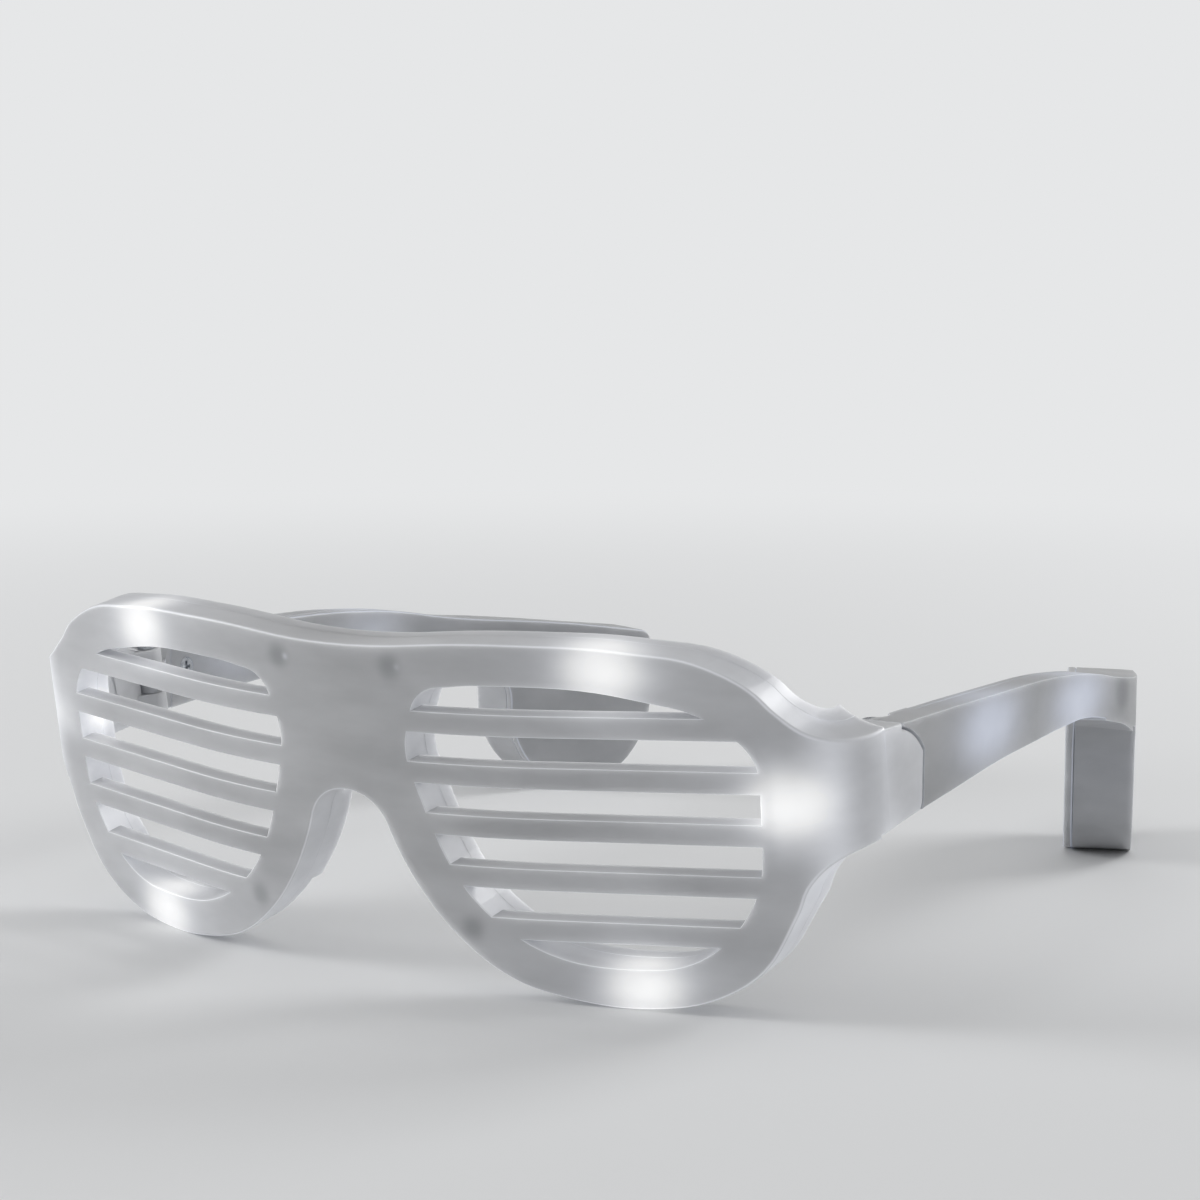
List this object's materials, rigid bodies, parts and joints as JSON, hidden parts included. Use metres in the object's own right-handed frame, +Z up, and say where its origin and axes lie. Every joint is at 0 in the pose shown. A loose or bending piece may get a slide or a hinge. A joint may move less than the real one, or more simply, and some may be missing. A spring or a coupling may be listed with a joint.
{
  "type": "slatted light-up glasses",
  "caption": "Novelty glasses of frosted white plastic with slats for lenses, lights in the rims and arms, folding arms and thick round-ended arm tips.",
  "frame": {"origin": "centre of the base: the middle of the overall box, on the surface that the rim bottoms and arm tips stand on", "axes": "+Z up, -Y out of the front, +X towards the wearer's left arm"},
  "size_m": [0.1502, 0.1696, 0.054],
  "materials": {
    "frosted_plastic": "translucent milky white, satin gloss",
    "light": "white, with a bevelled lens",
    "light_strip": "white flexible strip",
    "plated_steel": "zinc plated",
    "cell_steel": "nickel plated",
    "contact_strip": "spring strip",
    "board": "green solder mask",
    "black_plastic": "moulded black",
    "plunger_plastic": "moulded grey",
    "button_plastic": "milky white"
  },
  "bodies": {
    "frame": {"front_shell": "frosted_plastic", "back_shell": "frosted_plastic", "hinge_pin_left": "plated_steel", "hinge_pin_right": "plated_steel", "led_strip_left": "light_strip", "led_strip_right": "light_strip", "led_left_top": "light", "led_left_side": "light", "led_left_bottom": "light", "led_right_top": "light", "led_right_side": "light", "led_right_bottom": "light"},
    "left_arm": {"left_arm_shell": "frosted_plastic", "left_arm_cover": "frosted_plastic", "left_arm_screws": "plated_steel", "left_arm_strip": "light_strip", "left_arm_led_front": "light", "left_arm_led_rear": "light", "coin_cell_outer": "cell_steel", "coin_cell_inner": "cell_steel", "contact_negative": "contact_strip", "contact_positive": "contact_strip", "battery_door": "frosted_plastic", "door_screw": "plated_steel"},
    "right_arm": {"right_arm_shell": "frosted_plastic", "right_arm_cover": "frosted_plastic", "right_arm_screws": "plated_steel", "right_arm_strip": "light_strip", "right_arm_led_front": "light", "right_arm_led_rear": "light", "circuit_board": "board", "controller_chip": "black_plastic", "switch_body": "black_plastic"},
    "button": {"button_cap": "button_plastic", "switch_plunger": "plunger_plastic"}
  },
  "joints": [
    {"name": "left_arm_fold", "type": "hinge", "parent": "frame", "child": "left_arm", "pos_m": [0.0678, -0.04642, 0.03482], "axis": [0, -0.153, 0.9882], "range_deg": [0, 84]},
    {"name": "right_arm_fold", "type": "hinge", "parent": "frame", "child": "right_arm", "pos_m": [-0.0678, -0.04642, 0.03482], "axis": [0, -0.153, 0.9882], "range_deg": [-72, 0]},
    {"name": "button_press", "type": "slide", "parent": "right_arm", "child": "button", "axis": [0.9272, -0.3746, 0], "range_m": [0, 0.0005], "stiffness_N_per_m": 900, "springref_m": -0.0003}
  ]
}
